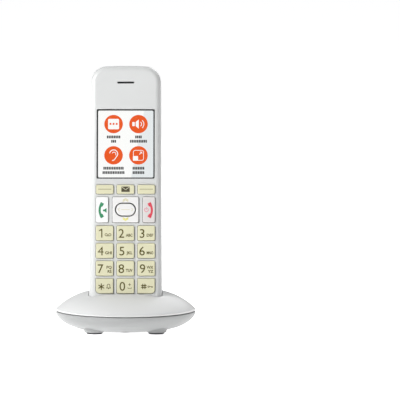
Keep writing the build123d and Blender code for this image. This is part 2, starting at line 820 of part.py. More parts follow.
# --- base: cover with its pocket -------------------------------------------------------------------
contact_slot_width = spring_width + 4 * foot_seat_gap
contact_slot_depth = 4.8
contact_places = ((-pad_spacing / 2, pad_depth), (pad_spacing / 2, pad_depth))
pocket_floor = -pocket_gap - pocket_wall
boss_bottom = well_top + foot_seat_gap
with BuildPart() as tub:
    add(dome_form(0, base_wall))
    add(tub_form, mode=Mode.INTERSECT)
with BuildPart() as cover_bosses:
    with BuildSketch(Plane.XY.offset(boss_bottom)):
        with Locations(*base_screws_at):
            Circle(base_boss_radius)
    extrude(amount=dome_rise + bowl_depth)
    add(dome_form(base_wall / 2, base_wall), mode=Mode.INTERSECT)
with BuildPart() as base_cover:
    add(dome_form(0, cover_bottom))
    fillet(base_cover.edges().group_by(Axis.Z)[0], seam_round)
    add(dome_form(base_wall, base_wall), mode=Mode.SUBTRACT)
    add(tub.part)
    add(cover_bosses.part)
    add(pocket_form, mode=Mode.SUBTRACT)
    with BuildSketch(across(pocket_floor - pocket_wall)):
        with Locations(*contact_places):
            Rectangle(contact_slot_width, contact_slot_depth)
    extrude(amount=2 * pocket_wall + pocket_gap, mode=Mode.SUBTRACT)
    with BuildSketch(Plane.XY.offset(boss_bottom)):
        with Locations(*base_screws_at):
            Circle(base_shank_radius)
    extrude(amount=base_screw_length, mode=Mode.SUBTRACT)
base_cover.part.label = "base_cover"
export_step(base_cover.part, "parts/base_cover.step")

# --- base: pan -------------------------------------------------------------------------------------
foot_places = [(sx * foot_x, sy * foot_y) for sx in (-1, 1) for sy in (-1, 1)]
seat_wall = 1.2
head_seat = well_top - base_head_height
tongue_wall = 0.9
tongue_rise = 1.2
tongue_root = 0.6
peg_radius = 2.0
peg_inset = 3.0
notch_width = line_plug_width + 2 * socket_wall + 2 * socket_gap
with BuildPart() as pan_tongue:
    with BuildSketch(Plane.XY.offset(seam_height)):
        add(pebble_outline(base_wall + lip_gap))
        add(pebble_outline(base_wall + lip_gap + tongue_wall), mode=Mode.SUBTRACT)
    extrude(amount=seam_groove + tongue_rise)
    add(dome_form(base_wall + lip_gap, base_wall), mode=Mode.INTERSECT)
    with BuildSketch(Plane.XY.offset(seam_height - tongue_root)):
        add(pebble_outline(base_wall / 2))
        add(pebble_outline(base_wall + lip_gap + tongue_wall), mode=Mode.SUBTRACT)
    extrude(amount=tongue_root)
with BuildPart() as pan_inside:
    with BuildSketch(Plane.XY.offset(floor_height)):
        with Locations(*foot_places):
            Circle(foot_radius + seat_wall)
    extrude(amount=foot_height + seat_wall - floor_height)
    with BuildSketch(Plane.XY.offset(floor_height)):
        with Locations(*base_screws_at):
            Circle(base_well_radius + base_well_wall)
    extrude(amount=well_top - floor_height)
    with BuildSketch(Plane.XY.offset(floor_height)):
        with Locations((0, base_board_y)):
            with GridLocations(base_board_width - 2 * peg_inset, base_board_depth - 2 * peg_inset, 2, 2):
                Circle(peg_radius)
    extrude(amount=base_board_z - floor_height)
    add(bowl_form(base_wall / 2), mode=Mode.INTERSECT)
with BuildPart() as foot_bosses:
    with BuildSketch(Plane.XY.offset(foot_ledge)):
        with Locations(*foot_places):
            Circle(foot_radius + seat_wall)
    extrude(amount=foot_boss_height, taper=-foot_boss_flare)
    add(bowl_form(base_wall / 2), mode=Mode.SUBTRACT)
with BuildPart() as base_pan:
    add(bowl_form(0))
    fillet(base_pan.faces().sort_by(Axis.Z)[-1].edges(), seam_round)
    add(bowl_form(base_wall), mode=Mode.SUBTRACT)
    add([pan_inside.part, foot_bosses.part])
    add(pan_tongue.part)
    with BuildSketch(Plane.XY):
        with Locations(*foot_places):
            Circle(foot_radius + foot_seat_gap)
    extrude(amount=foot_height, mode=Mode.SUBTRACT)
    with BuildSketch(Plane.XY):
        with Locations(*base_screws_at):
            Circle(base_well_radius)
    extrude(amount=head_seat, mode=Mode.SUBTRACT)
    with BuildSketch(Plane.XY):
        with Locations(*base_screws_at):
            Circle(base_shank_radius + foot_seat_gap)
    extrude(amount=well_top + base_wall, mode=Mode.SUBTRACT)
    with BuildSketch(Plane.XY.offset(socket_bottom - socket_gap)):
        with Locations((-socket_x, socket_front - socket_depth), (socket_x, socket_front - socket_depth)):
            Rectangle(notch_width, 2 * base_half_depth, align=(Align.CENTER, Align.MIN))
    extrude(amount=socket_height + 2 * socket_gap, mode=Mode.SUBTRACT)
base_pan.part.label = "base_pan"
export_step(base_pan.part, "parts/base_pan.step")

with BuildPart() as base_feet:
    with BuildSketch(Plane.XY):
        with Locations(*foot_places):
            Circle(foot_radius)
    extrude(amount=foot_height)
    chamfer(base_feet.edges().group_by(Axis.Z)[0], seam_round)
base_feet.part.label = "base_feet"
export_step(base_feet.part, "parts/base_feet.step")

with BuildPart() as base_screws:
    with BuildSketch(Plane.XY.offset(head_seat - base_head_height)):
        with Locations(*base_screws_at):
            Circle(base_head_radius)
    extrude(amount=base_head_height)
    with BuildSketch(Plane.XY.offset(head_seat)):
        with Locations(*base_screws_at):
            Circle(base_shank_radius)
    extrude(amount=base_screw_length)
    with BuildSketch(Plane.XY.offset(head_seat - base_head_height)):
        with Locations(*base_screws_at):
            Rectangle(2 * drive_width, drive_slot)
            Rectangle(drive_slot, 2 * drive_width)
    extrude(amount=drive_sink, mode=Mode.SUBTRACT)
base_screws.part.label = "base_screws"
export_step(base_screws.part, "parts/base_screws.step")

# --- base: charging contacts -----------------------------------------------------------------------
carrier_top = pocket_floor - lip_gap
carrier_floor = 1.1
carrier_slot_depth = contact_slot_depth + 1.0
spring_foot = carrier_top - carrier_thickness + carrier_floor + spring_sheet / 2 + lip_gap
spring_tip = -pad_gap - spring_sheet / 2
spring_reach = contact_slot_depth / 2 - spring_sheet / 2
with BuildPart() as contact_carrier:
    with BuildSketch(across(carrier_top - carrier_thickness)):
        with Locations((0, pad_depth)):
            RectangleRounded(carrier_width, carrier_depth, key_corner)
    extrude(amount=carrier_thickness)
    with BuildSketch(across(carrier_top - carrier_thickness + carrier_floor)):
        with Locations(*contact_places):
            Rectangle(contact_slot_width, carrier_slot_depth)
    extrude(amount=carrier_thickness, mode=Mode.SUBTRACT)
contact_carrier.part.label = "contact_carrier"
export_step(contact_carrier.part, "parts/contact_carrier.step")

tip_drop = 0.9
tip_half = 1.1
bend_reach = 0.9
bend_rise = 1.5
bend_slack = 0.2
spring_start = (-pad_depth - spring_reach, spring_foot)
spring_turn = (-pad_depth + spring_reach - bend_reach, spring_foot)
spring_side = (-pad_depth + spring_reach - bend_slack, spring_foot + bend_rise)
spring_shoulder = (-pad_depth + tip_half, spring_tip - tip_drop)
spring_end = (-pad_depth - tip_half, spring_tip - tip_drop)
with BuildPart() as charge_springs:
    for sign in (-1, 1):
        with BuildSketch(side.offset(-sign * pad_spacing / 2)):
            with BuildLine():
                Line(spring_start, spring_turn)
                bend = TangentArc(spring_turn, spring_side, tangent=(1, 0))
                Line(bend @ 1, spring_shoulder)
                ThreePointArc(spring_shoulder, (-pad_depth, spring_tip), spring_end)
            trace(line_width=spring_sheet)
        extrude(amount=spring_width / 2, both=True)
charge_springs.part.label = "charge_springs"
export_step(charge_springs.part, "parts/charge_springs.step")

# --- base: board and sockets -----------------------------------------------------------------------
with BuildPart() as base_board:
    with BuildSketch(Plane.XY.offset(base_board_z)):
        with Locations((0, base_board_y)):
            RectangleRounded(base_board_width, base_board_depth, key_corner)
    extrude(amount=base_board_thickness)
base_board.part.label = "base_board"
export_step(base_board.part, "parts/base_board.step")

latch_notch_width = 3.4
latch_notch_height = 1.0
sockets = {"line_socket": (socket_x, line_plug_width), "power_socket": (-socket_x, power_plug_width)}
plug_lift = 0.25
plug_bottom = socket_bottom + (socket_height - plug_height) / 2 + plug_lift
for name, (x, plug_width) in sockets.items():
    mouth_plane = Plane(origin=(x, socket_front, plug_bottom), x_dir=(-1, 0, 0), z_dir=(0, 1, 0))
    with BuildPart() as socket:
        with BuildSketch(Plane.XY.offset(socket_bottom)):
            with Locations((x, socket_front - socket_depth / 2)):
                Rectangle(line_plug_width + 2 * socket_wall, socket_depth)
        extrude(amount=socket_height)
        with BuildSketch(mouth_plane):
            Rectangle(plug_width, plug_height, align=(Align.CENTER, Align.MIN))
            Rectangle(latch_notch_width, latch_notch_height, align=(Align.CENTER, Align.MAX))
        extrude(amount=-plug_length, mode=Mode.SUBTRACT)
    socket.part.label = name
    export_step(socket.part, "parts/" + name + ".step")
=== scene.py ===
import json

import bpy
import numpy as np
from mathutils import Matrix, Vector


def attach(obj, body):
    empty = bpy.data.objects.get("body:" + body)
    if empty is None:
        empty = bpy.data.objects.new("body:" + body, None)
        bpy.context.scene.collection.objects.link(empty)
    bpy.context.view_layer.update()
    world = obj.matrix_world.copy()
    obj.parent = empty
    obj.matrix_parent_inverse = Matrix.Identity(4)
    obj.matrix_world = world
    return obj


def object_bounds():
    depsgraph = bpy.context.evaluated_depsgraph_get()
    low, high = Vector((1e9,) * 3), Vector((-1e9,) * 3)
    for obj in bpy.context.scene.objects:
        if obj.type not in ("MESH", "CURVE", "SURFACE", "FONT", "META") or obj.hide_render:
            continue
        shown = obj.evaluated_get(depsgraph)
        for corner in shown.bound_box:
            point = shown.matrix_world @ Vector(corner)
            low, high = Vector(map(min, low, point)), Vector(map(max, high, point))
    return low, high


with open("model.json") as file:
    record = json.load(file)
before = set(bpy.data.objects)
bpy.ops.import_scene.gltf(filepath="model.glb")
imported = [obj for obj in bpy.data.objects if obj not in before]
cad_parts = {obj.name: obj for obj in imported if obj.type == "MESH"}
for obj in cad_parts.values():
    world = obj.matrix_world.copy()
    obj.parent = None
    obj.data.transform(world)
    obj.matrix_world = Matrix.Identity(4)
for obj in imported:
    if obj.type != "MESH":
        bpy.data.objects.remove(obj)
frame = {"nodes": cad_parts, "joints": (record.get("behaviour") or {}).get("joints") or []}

cad_low, cad_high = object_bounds()

# --- camera ------------------------------------------------------------------------------------------
# A long lens looks at the front from a little above. The telephone stands left of the frame's middle, and
# the right half of the frame stays empty.
camera_distance = 4.0
camera_rise = np.radians(5.5)
frame_width = 0.2725             # metres of the scene that the frame is wide
left_of_middle = 0.0507          # metres that the telephone stands left of the frame's middle
far_enough = 50.0
aim = (np.array(cad_low) + np.array(cad_high)) / 2 + (left_of_middle, 0, 0)
camera = bpy.data.objects.new("camera", bpy.data.cameras.new("camera"))
camera.data.lens = camera.data.sensor_width * camera_distance / frame_width
camera.data.clip_end = far_enough
camera.location = aim + camera_distance * np.array((0, -np.cos(camera_rise), np.sin(camera_rise)))
camera.rotation_euler = (np.pi / 2 - camera_rise, 0, 0)
bpy.context.scene.collection.objects.link(camera)
bpy.context.scene.camera = camera

# --- studio ------------------------------------------------------------------------------------------
# A plain pale floor under an even pale sky. A softbox stands high at the front left and lays the keys'
# shadows to the lower right; a wide one hangs overhead, and one at the rear right lights the base's cover.
bpy.context.scene.view_settings.view_transform = "Standard"
sky = bpy.data.worlds.new("sky")
sky.use_nodes = True
sky.node_tree.nodes["Background"].inputs["Color"].default_value = (0.97, 0.985, 1.0, 1.0)
sky.node_tree.nodes["Background"].inputs["Strength"].default_value = 0.14
bpy.context.scene.world = sky

softboxes = {                    # place, point lit, width, height, watts
    "softbox_left": ((-0.85, -0.55, 0.75), (0, 0, 0.09), 0.20, 0.20, 12.5),
    "softbox_top": ((0.0, 0.2, 1.7), (0, 0, 0), 1.4, 1.4, 3.8),
    "softbox_rear": ((0.6, 0.8, 0.95), (0, 0, 0.03), 0.9, 0.9, 9.0),
}
for name, (place, target, width, height, watts) in softboxes.items():
    lamp = bpy.data.lights.new(name, "AREA")
    lamp.shape, lamp.size, lamp.size_y, lamp.energy = "RECTANGLE", width, height, watts
    softbox = bpy.data.objects.new(name, lamp)
    softbox.location = place
    look = np.array(target) - np.array(place)
    turn = np.arctan2(look[0], -look[1])
    tilt = np.arctan2(np.hypot(look[0], look[1]), -look[2])
    softbox.rotation_euler = (tilt, 0, turn + np.pi)
    bpy.context.scene.collection.objects.link(softbox)


class Signal:
    """One varying value of a material. + - * / % < and > on it add the Math nodes that work it out."""

    def __init__(self, recipe, socket):
        self.recipe, self.socket = recipe, socket

    def maths(self, operation, first, second):
        return self.recipe.node("ShaderNodeMath", {"operation": operation}, {0: first, 1: second})

    def __add__(self, other):
        return self.maths("ADD", self, other)

    def __radd__(self, other):
        return self.maths("ADD", other, self)

    def __sub__(self, other):
        return self.maths("SUBTRACT", self, other)

    def __rsub__(self, other):
        return self.maths("SUBTRACT", other, self)

    def __mul__(self, other):
        return self.maths("MULTIPLY", self, other)

    def __rmul__(self, other):
        return self.maths("MULTIPLY", other, self)

    def __truediv__(self, other):
        return self.maths("DIVIDE", self, other)

    def __gt__(self, other):
        return self.maths("GREATER_THAN", self, other)

    def __lt__(self, other):
        return self.maths("LESS_THAN", self, other)

    def __mod__(self, other):
        return self.maths("FLOORED_MODULO", self, other)


class Recipe:
    """A material's nodes. node() makes any of them, and the methods after it name the ones used most."""

    def __init__(self, name):
        self.material = bpy.data.materials.new(name)
        self.material.use_nodes = True
        self.tree = self.material.node_tree
        self.tree.nodes.clear()

    def node(self, kind, settings=None, inputs=None, output=0):
        """A node of this type, with its settings made first and then its sockets fed values or links."""
        made = self.tree.nodes.new(kind)
        for key, value in (settings or {}).items():
            setattr(made, key, value)
        for key, value in (inputs or {}).items():
            if isinstance(value, Signal):
                self.tree.links.new(value.socket, made.inputs[key])
            else:
                made.inputs[key].default_value = value
        return Signal(self, made.outputs[output]) if len(made.outputs) else made

    def place(self, scale=(1, 1, 1), turn=(0, 0, 0)):
        """Object coordinates in metres, turned and scaled."""
        here = self.node("ShaderNodeTexCoord", output="Object")
        sockets = {"Vector": here, "Rotation": turn, "Scale": scale}
        return self.node("ShaderNodeMapping", None, sockets)

    def split(self, vector, axis):
        """One coordinate of a vector."""
        return self.node("ShaderNodeSeparateXYZ", None, {"Vector": vector}, axis)

    def noise(self, vector, scale, detail=2.0, roughness=0.5):
        """Cloudy noise from 0 to 1, about `scale` blotches to the metre."""
        sockets = {"Vector": vector, "Scale": scale, "Detail": detail, "Roughness": roughness}
        return self.node("ShaderNodeTexNoise", None, sockets)

    def blend(self, share, first, second):
        """The first colour, turning into the second as share goes from 0 to 1."""
        ends = [end if isinstance(end, Signal) else (*end, 1.0) for end in (first, second)]
        return self.node("ShaderNodeMix", {"data_type": "RGBA"}, {0: share, 6: ends[0], 7: ends[1]}, 2)

    def bump(self, height, metres):
        """A normal bent by a height that is worth this many metres."""
        return self.node("ShaderNodeBump", None, {"Height": height, "Distance": metres})

    def surface(self, **sockets):
        """The finished material, from the Principled shader's sockets: _ is a space in their names."""
        named = {key.replace("_", " "): value for key, value in sockets.items()}
        for key, value in named.items():
            if key.endswith("Color") and isinstance(value, tuple):
                named[key] = (*value, 1.0)
        shader = self.node("ShaderNodeBsdfPrincipled", None, named)
        self.node("ShaderNodeOutputMaterial", None, {"Surface": shader})
        return self.material


def new_piece(name, points, faces, material):
    """An object at the origin whose mesh holds these points, in metres, and flat faces."""
    mesh = bpy.data.meshes.new(name)
    mesh.from_pydata(np.asarray(points, float).tolist(), [], faces)
    mesh.materials.append(material)
    mesh.update()
    made = bpy.data.objects.new(name, mesh)
    bpy.context.scene.collection.objects.link(made)
    return made


floor_paint = Recipe("floor_paint")
drift = floor_paint.noise(floor_paint.place(), 3.0)
floor_finish = floor_paint.surface(
    Base_Color=floor_paint.blend(drift, (0.93, 0.93, 0.93), (0.96, 0.96, 0.96)),
    Roughness=0.6,
    Emission_Color=(1.0, 1.0, 1.0),
    Emission_Strength=0.86,
)
floor_reach = 12.0
floor_sides = 64
floor_turn = 2 * np.pi * np.arange(floor_sides) / floor_sides
floor_rim = floor_reach * np.stack([np.cos(floor_turn), np.sin(floor_turn), 0 * floor_turn], axis=1)
floor = new_piece("floor", floor_rim, [list(range(floor_sides))], floor_finish)

# --- handset: shells and battery cover ---------------------------------------------------------------
# The two halves of the case and the battery cover are satin white ABS from spark-eroded moulds. The shells
# meet along the parting line and are screwed together. The cover closes the cells' opening at the back.
up = next(np.array(joint["axis"], float) for joint in frame["joints"] if joint["name"] == "handset_lift")
across = np.array((1.0, 0.0, 0.0))
outward = np.cross(across, up)   # out of the face with the keys
handset_axes = np.stack([across, up, outward])
lean_turn = (float(np.arctan2(up[1], up[2])), 0, 0)  # turns axis 2 along the handset and axis 1 into it
# painted shade for the gaps round the keys
painted_gap_shade = (0.02, 0.02, 0.02)


def scaled(colour, share):
    """The colour times a share: darker where that is under 1, and paler over it."""
    return tuple(share * part for part in colour)


def moulded(name, colour, rough, skin=0.00001, gleam=0.5, painted_shade_under=None):
    """Moulded plastic: slightly cloudy pigment, the mould's skin as bump, and uneven gloss from hands.
    Below a given level along outward, whatever lies deeper in the handset gets painted shade, the dark of
    the gaps round the keys."""
    mix = Recipe(name)
    here = mix.place()
    cloud = mix.noise(here, 45.0, 3.0)
    grain = mix.noise(here, 2600.0, 2.0)
    rubbed = mix.noise(here, 70.0, 4.0, 0.6)
    tint = mix.blend(cloud, scaled(colour, 0.965), colour)
    if painted_shade_under is not None:
        height = 0.0 - mix.split(mix.place(turn=lean_turn), 1)
        # painted shade on the caps' hidden sides, so that the gaps round them look dark
        tint = mix.blend(height < painted_shade_under, tint, painted_gap_shade)
    return mix.surface(
        Base_Color=tint,
        Roughness=rough - 0.05 + 0.1 * rubbed,
        Normal=mix.bump(grain, skin),
        Specular_IOR_Level=gleam,
    )


def dress(material, *names):
    """Gives CAD nodes a material, on their objects' slots, so that their meshes stay as they are."""
    for name in names:
        for slot in frame["nodes"][name].material_slots:
            slot.link = "OBJECT"
            slot.material = material


case_white = moulded("case_white", (0.63, 0.638, 0.634), 0.36)
dress(case_white, "front_shell", "rear_shell", "battery_cover")

# --- handset: earpiece -------------------------------------------------------------------------------
# Behind the slot at the top lies black woven cloth that keeps dust off the receiver, which is a black
# plastic capsule glued to the shell.
weave_pitch = 0.00035


def woven(name, colour, pitch):
    """Plain weave: a thread shows where the sine along it and the sine across it agree."""
    mix = Recipe(name)
    turns = 2 * np.pi / pitch
    here = mix.place(turn=lean_turn)
    along = mix.node("ShaderNodeMath", {"operation": "SINE"}, {0: mix.split(here, 0) * turns})
    over = mix.node("ShaderNodeMath", {"operation": "SINE"}, {0: mix.split(here, 2) * turns})
    thread = 0.5 + 0.5 * along * over
    return mix.surface(
        Base_Color=mix.blend(thread, scaled(colour, 0.35), colour),
        Roughness=0.85,
        Normal=mix.bump(thread, 0.00005),
    )


dress(woven("acoustic_cloth", (0.05, 0.05, 0.052), weave_pitch), "earpiece_mesh")
inner_black = moulded("inner_black", (0.02, 0.02, 0.021), 0.5)
dress(inner_black, "earpiece_receiver", "lcd_holder")

# --- handset: display --------------------------------------------------------------------------------
# A clear acrylic window lies flush in the front shell. A dark border is printed on its back, and the lit
# colour panel behind it shows a white page with a painted reflection on it: a slanted pale blue-grey glare
# over its right side.


def reach(node, direction):
    """How far a CAD node's points lie along a direction: the least and the greatest, in metres."""
    mesh = frame["nodes"][node].data
    flat = np.empty(3 * len(mesh.vertices))
    mesh.vertices.foreach_get("co", flat)
    along = flat.reshape(-1, 3) @ direction
    return along.min(), along.max()


def middle(node):
    """The middle of a node seen from the handset's front: across, then up the handset."""
    return np.array([sum(reach(node, across)) / 2, sum(reach(node, up)) / 2])


border_ink = Recipe("border_ink")
speck = border_ink.noise(border_ink.place(), 900.0, 3.0)
dress(
    border_ink.surface(
        Base_Color=border_ink.blend(speck, (0.055, 0.058, 0.06), (0.075, 0.078, 0.08)),
        Roughness=0.35,
    ),
    "display_mask",
)

glare_start = 0.0076              # the painted glare's slanted edge crosses the panel's middle here, from the centre
glare_slant = 0.194               # the edge moves this far across for each metre up
glare_sharpness = 900.0           # how steeply it sets in
dot_pitch = 0.00016
dot_share = 0.88                 # of the pitch that a dot fills
between_dots = 0.05              # how far the page darkens there
panel_middle = middle("lcd_panel")
panel = Recipe("lit_panel")
from_centre = panel.place(turn=lean_turn)
panel_x = panel.split(from_centre, 0)
panel_v = panel.split(from_centre, 2) - float(panel_middle[1])
# painted reflection: a slanted pale blue-grey glare over the page's right side
past_glare_edge = (panel_x - glare_start - panel_v * glare_slant) * glare_sharpness
painted_glare = panel.node("ShaderNodeClamp", None, {0: past_glare_edge})
columns = (panel_x % dot_pitch) / dot_pitch
rows = (panel_v % dot_pitch) / dot_pitch
gaps = (columns > dot_share) + (rows > dot_share)
page_with_glare = panel.blend(painted_glare, (0.985, 0.995, 0.98), (0.80, 0.84, 0.85))
darker = panel.node("ShaderNodeClamp", None, {0: gaps * between_dots})
unlit = (0.02, 0.02, 0.02)


def lit_surface(mix, light):
    """The display's own light on a surface that is nearly black without it."""
    return mix.surface(
        Base_Color=unlit,
        Roughness=0.4,
        Specular_IOR_Level=0.1,
        Emission_Color=light,
        Emission_Strength=1.0,
    )


dress(lit_surface(panel, panel.blend(darker, page_with_glare, (0.0, 0.0, 0.0))), "lcd_panel")

window = Recipe("clear_window")
haze = window.noise(window.place(), 300.0, 4.0)
clear = window.node("ShaderNodeBsdfTransparent", None, {"Color": (0.99, 0.99, 0.99, 1.0)})
shine = window.node(
    "ShaderNodeBsdfPrincipled",
    None,
    {"Base Color": (1.0, 1.0, 1.0, 1.0), "Metallic": 1.0, "Roughness": 0.02 + 0.03 * haze},
)
outer_side = 1.0 - window.node("ShaderNodeNewGeometry", output="Backfacing")
mirror_share = window.node("ShaderNodeFresnel", None, {"IOR": 1.25}) * outer_side
window.node(
    "ShaderNodeOutputMaterial",
    None,
    {"Surface": window.node("ShaderNodeMixShader", None, {0: mirror_share, 1: clear, 2: shine})},
)
dress(window.material, "display_lens")

# --- handset: picture on the display -----------------------------------------------------------------
# Four orange discs carry white pictograms, each over two lines of greeked text. They are the lit picture,
# a hair in front of the panel and behind the window.
picture_lift = 0.00002
picture_thick = 0.00003
millimetre = 0.001


def arc(centre, radius, first, last, count=24):
    """Points on a circle from one angle to another, in degrees anticlockwise from the right."""
    turn = np.radians(np.linspace(first, last, count))
    return np.array(centre) + radius * np.stack([np.cos(turn), np.sin(turn)], axis=1)


def rounded(width, height, corner, centre=(0, 0)):
    """Outline of a rectangle with round corners: four quarter circles, joined."""
    reach_x, reach_y = width / 2 - corner, height / 2 - corner
    corners = ((1, 1, 0), (-1, 1, 90), (-1, -1, 180), (1, -1, 270))
    quarters = [arc((sx * reach_x, sy * reach_y), corner, a, a + 90, 7) for sx, sy, a in corners]
    return np.concatenate(quarters) + np.array(centre)


def filled(outline):
    """A thin slab of this outline: its rim at two levels, 0 and 1, a wall between, and two flat ends."""
    count = len(outline)
    low = np.column_stack([outline, np.zeros(count)])
    high = np.column_stack([outline, np.ones(count)])
    here = np.arange(count)
    after = np.roll(here, -1)
    walls = np.stack([here, after, after + count, here + count], axis=1).tolist()
    return np.concatenate([low, high]), [here[::-1].tolist(), (here + count).tolist()] + walls


def stroke(path, width, closed=False, round_ends=True):
    """A line of ink: at each point of the path a box across it, half the width to each side along the
    path's normal. A round end carries on past the path, its half-width falling as a quarter circle."""
    path = np.asarray(path, float)
    half = np.full(len(path), width / 2) if np.ndim(width) == 0 else np.asarray(width, float) / 2
    if closed:
        run = np.roll(path, -1, axis=0) - np.roll(path, 1, axis=0)
    else:
        run = np.gradient(path, axis=0)
    if round_ends and not closed:
        tip_turns = np.radians((30, 60, 85))
        past = np.sin(tip_turns)[:, None]
        shrink = np.cos(tip_turns)
        tip_run = [run[i] / np.linalg.norm(run[i]) for i in (0, -1)]
        before = path[0] - half[0] * past[::-1] * tip_run[0]
        beyond = path[-1] + half[-1] * past * tip_run[1]
        path = np.concatenate([before, path, beyond])
        tip_count = len(tip_turns)
        run = np.concatenate([run[:1].repeat(tip_count, axis=0), run, run[-1:].repeat(tip_count, axis=0)])
        half = np.concatenate([half[0] * shrink[::-1], half, half[-1] * shrink])
    run = run / np.linalg.norm(run, axis=1)[:, None]
    side = np.stack([-run[:, 1], run[:, 0]], axis=1) * half[:, None]
    level = np.zeros((len(path), 1))
    ring = [np.hstack([path - side, level]), np.hstack([path + side, level])]
    ring += [np.hstack([path + side, level + 1]), np.hstack([path - side, level + 1])]
    points = np.stack(ring, axis=1).reshape(-1, 3)
    corner = np.arange(len(ring))
    start = np.arange(len(path) if closed else len(path) - 1) * len(ring)
    after = (start + len(ring)) % len(points)
    following = np.roll(corner, -1)
    first = start[:, None] + corner
    second = start[:, None] + following
    third = after[:, None] + following
    fourth = after[:, None] + corner
    faces = np.stack([first, second, third, fourth], axis=2).reshape(-1, 4).tolist()
    if not closed:
        last = len(points) - len(ring)
        faces += [[3, 2, 1, 0], [last, last + 1, last + 2, last + 3]]
    return points, faces


def printed(name, shapes, centre, level, thick, material, body):
    """One print made of thin shapes drawn in millimetres about a centre on the handset's face."""
    points, faces, count = [], [], 0
    for outline, sides in shapes:
        points.append(outline)
        faces += [[count + corner for corner in side] for side in sides]
        count += len(outline)
    points = np.concatenate(points) * (millimetre, millimetre, thick)
    points = (points + (centre[0], centre[1], level)) @ handset_axes
    made = new_piece(name, points, faces, material)
    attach(made, body)


def glowing(name, colour):
    """Part of the lit picture, with the panel's fine rows of dots."""
    mix = Recipe(name)
    here = mix.place(turn=lean_turn)
    row = (mix.split(here, 2) % dot_pitch) / dot_pitch
    return lit_surface(mix, mix.blend(row > dot_share, colour, scaled(colour, 0.93)))


def shown(name, shapes, centre, step, light):
    """A print in the picture, this many steps in front of the panel."""
    level = panel_level + step * (picture_thick + picture_lift)
    printed(name, shapes, centre, level, picture_thick, light, "handset")


picture_orange = glowing("picture_orange", (0.83, 0.088, 0.0))
picture_white = glowing("picture_white", (0.985, 0.99, 0.98))
picture_grey = glowing("picture_grey", (0.018, 0.018, 0.02))
disc_radius = 6.35
disc_spread = (8.5, 10.8)        # from the middle of the four
disc_middle = panel_middle + np.array((0.0002, 0.0031))
panel_level = reach("lcd_panel", outward)[1] + picture_lift
caption_lines = {                # letters in the upper and the lower line under each disc
    "dots": ((-1, 1), 8, 3),
    "loudspeaker": ((1, 1), 4, 10),
    "ear": ((-1, -1), 12, 13),
    "enlarge": ((1, -1), 7, 7),
}
dots = [filled(arc((x, 0.1), 0.72, 0, 345, 20)) for x in (-2.1, 0, 2.1)]
horn = np.array([(-1.9, -1.4), (0.2, -3.2), (0.2, 3.2), (-1.9, 1.4)])
ear_lobe = np.array([(1.5, -1.7), (0.4, -3.2), (-0.7, -3.6)])
ear_fold = np.concatenate([arc((0.1, 1.0), 2.75, 165, -20), ear_lobe])
arrow = np.array([(0.7, 0.7), (2.2, 2.2)])
arrow_head = np.array([(1.3, 2.3), (2.3, 2.3), (2.3, 1.3)])
pictograms = {
    "dots": [filled(rounded(7.5, 7.2, 0.9))],
    "loudspeaker": [
        filled(rounded(1.7, 2.8, 0.2, (-3.4, 0))),
        filled(horn),
        stroke(arc((0.2, 0), 1.9, -45, 45), 0.5),
        stroke(arc((0.2, 0), 3.5, -45, 45), 0.5),
    ],
    "ear": [stroke(ear_fold, 0.58), stroke(arc((0.3, 0.9), 1.3, 150, -30), 0.42)],
    "enlarge": [
        stroke(rounded(6.9, 6.9, 1.2), 0.4, closed=True),
        filled(rounded(3.5, 3.2, 0.3, (-2.0, -2.1))),
        stroke(arrow, 0.42),
        stroke(arrow_head, 0.42),
    ],
}
block_pitch, block_width, block_height, block_corner = 1.17, 0.92, 1.9, 0.15
line_drops = (8.9, 11.9)         # the captions' two lines, below their disc's middle
for name, ((sx, sv), *line_lengths) in caption_lines.items():
    centre = disc_middle + np.array((sx * disc_spread[0], sv * disc_spread[1])) * millimetre
    shown("disc_" + name, [filled(arc((0, 0), disc_radius, 0, 355, 72))], centre, 0, picture_orange)
    shown("sign_" + name, pictograms[name], centre, 1, picture_white)
    blocks = []
    for count, drop in zip(line_lengths, line_drops):
        for index in range(count):
            x = (index - (count - 1) / 2) * block_pitch
            blocks.append(filled(rounded(block_width, block_height, block_corner, (x, -drop))))
    shown("caption_" + name, blocks, centre, 0, picture_grey)
dots_middle = disc_middle + np.array((-disc_spread[0], disc_spread[1])) * millimetre
shown("sign_dots_row", dots, dots_middle, 2, picture_orange)

# --- handset: keys -----------------------------------------------------------------------------------
# Satin caps stand a millimetre proud of the shell, each in its own opening: cream for the figures and the
# soft keys, and white to answer; the key to hang up and the four-way key's two pieces are that white with
# painted shade, greyer and off-white. Where the shell hides their sides they carry painted shade, so that
# the gaps round them are dark lines.
cream_names = "1 2 3 4 5 6 7 8 9 star 0 hash soft_left message soft_right".split()
# the painted shade starts this far under the shell's face
gap_shade_depth = 0.0001
gap_shade_level = float(reach("front_shell", outward)[1]) - gap_shade_depth
cream_plastic = moulded("cream_plastic", (0.675, 0.655, 0.455), 0.42, painted_shade_under=gap_shade_level)
white_plastic = moulded("white_plastic", (0.84, 0.845, 0.84), 0.36, painted_shade_under=gap_shade_level)
# painted shade: the key to hang up and the four-way key's pieces are darker copies of the answer key's
# white
end_white_painted_shade = moulded("end_white_painted_shade", (0.66, 0.635, 0.625), 0.40, painted_shade_under=gap_shade_level)
nav_white_painted_shade = moulded("nav_white_painted_shade", (0.77, 0.765, 0.755), 0.34, painted_shade_under=gap_shade_level)
dress(cream_plastic, *("key_" + name for name in cream_names))
dress(white_plastic, "key_talk")
dress(nav_white_painted_shade, "nav_rocker", "nav_centre")
dress(end_white_painted_shade, "key_end")

# --- handset: legends on the keys --------------------------------------------------------------------
# The figures, letters and signs are pad-printed on the caps in olive ink, and in paler inks on the soft
# keys and the four-way key. The answer key's receiver is green and the other's red. Each rides on its key.
print_thick = 0.00004


def on_key(name, shapes, key, finish):
    """A print on a key's top, about its middle, that rides on the key's own body."""
    level = reach(key, outward)[1]
    printed("legend_" + name, shapes, middle(key), level, print_thick, finish, key)


